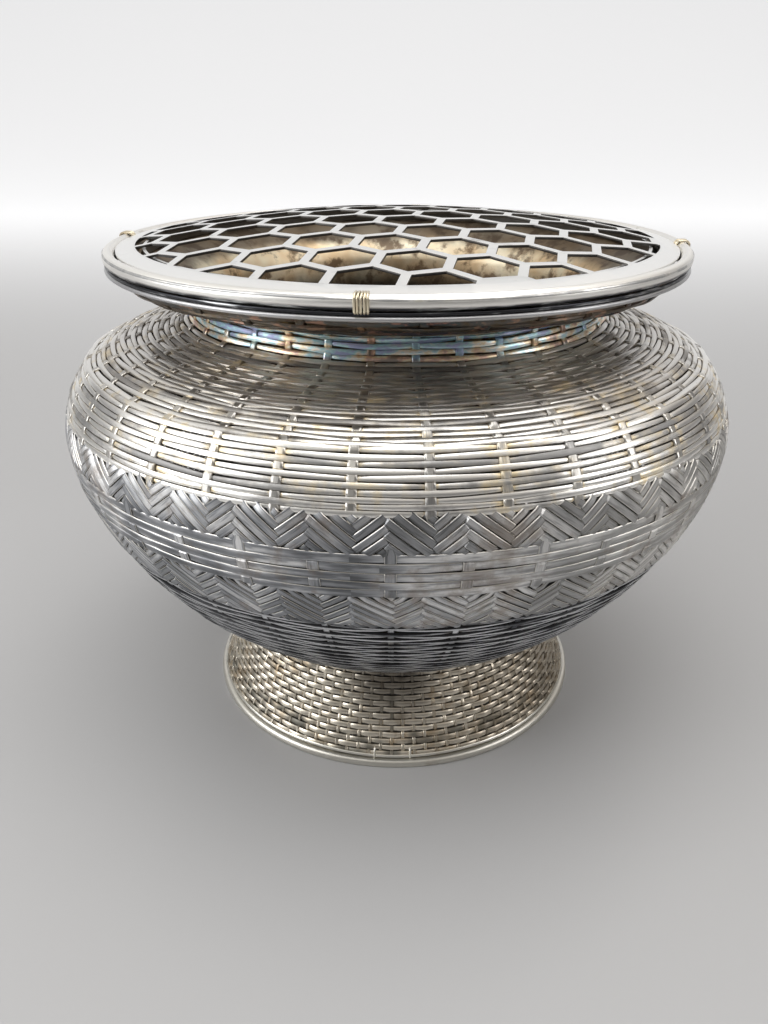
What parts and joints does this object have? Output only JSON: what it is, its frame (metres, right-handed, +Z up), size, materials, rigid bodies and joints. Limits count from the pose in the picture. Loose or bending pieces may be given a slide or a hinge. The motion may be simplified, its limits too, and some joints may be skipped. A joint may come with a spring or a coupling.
{
  "type": "hibachi",
  "caption": "Round hand warmer woven from silver strip over a flared foot, with a lift-out liner pot and a domed, pierced honeycomb lid.",
  "frame": {"origin": "centre of the ring that the foot stands on", "axes": "+Z up along the vessel's axis, -Y towards the viewer"},
  "size_m": [0.2716, 0.2716, 0.2082],
  "materials": {
    "woven_silver": "satin half-round strip with a warm patina between the rows",
    "oxidised_silver": "darkened strip with bright edges",
    "brown_silver": "tarnished, with brown, gold and blue tints",
    "foot_silver": "fine champagne-coloured weave",
    "bright_silver": "polished strands",
    "silver_wire": "fine wire with a cream tint",
    "lid_silver": "satin sheet with dark cut edges",
    "liner_metal": "spun sheet with tan and dark brown tarnish"
  },
  "bodies": {
    "basket": {"neck_weave": "brown_silver", "shoulder_weave": "woven_silver", "upper_herringbone": "oxidised_silver", "belt_weave": "oxidised_silver", "lower_herringbone": "oxidised_silver", "underside_weave": "oxidised_silver", "basket_base": "oxidised_silver", "foot_collar": "bright_silver", "foot_weave": "foot_silver", "foot_hoop": "bright_silver", "foot_inner_hoop": "bright_silver", "rim_outer_hoop": "bright_silver", "rim_lower_hoop": "bright_silver", "rim_inner_hoop": "bright_silver", "rim_tie_1": "silver_wire", "rim_tie_2": "silver_wire", "rim_tie_3": "silver_wire", "rim_tie_4": "silver_wire"},
    "liner": {"liner_floor": "liner_metal", "liner_pot": "liner_metal", "liner_rim_wire": "liner_metal"},
    "lid": {"lid_lattice": "lid_silver", "lid_locating_ring": "lid_silver"}
  },
  "joints": [
    {"name": "liner_lift", "type": "slide", "parent": "basket", "child": "liner", "axis": [0, 0, 1], "range_m": [0, 0.16]},
    {"name": "lid_lift", "type": "slide", "parent": "liner", "child": "lid", "axis": [0, 0, 1], "range_m": [0, 0.04]}
  ]
}
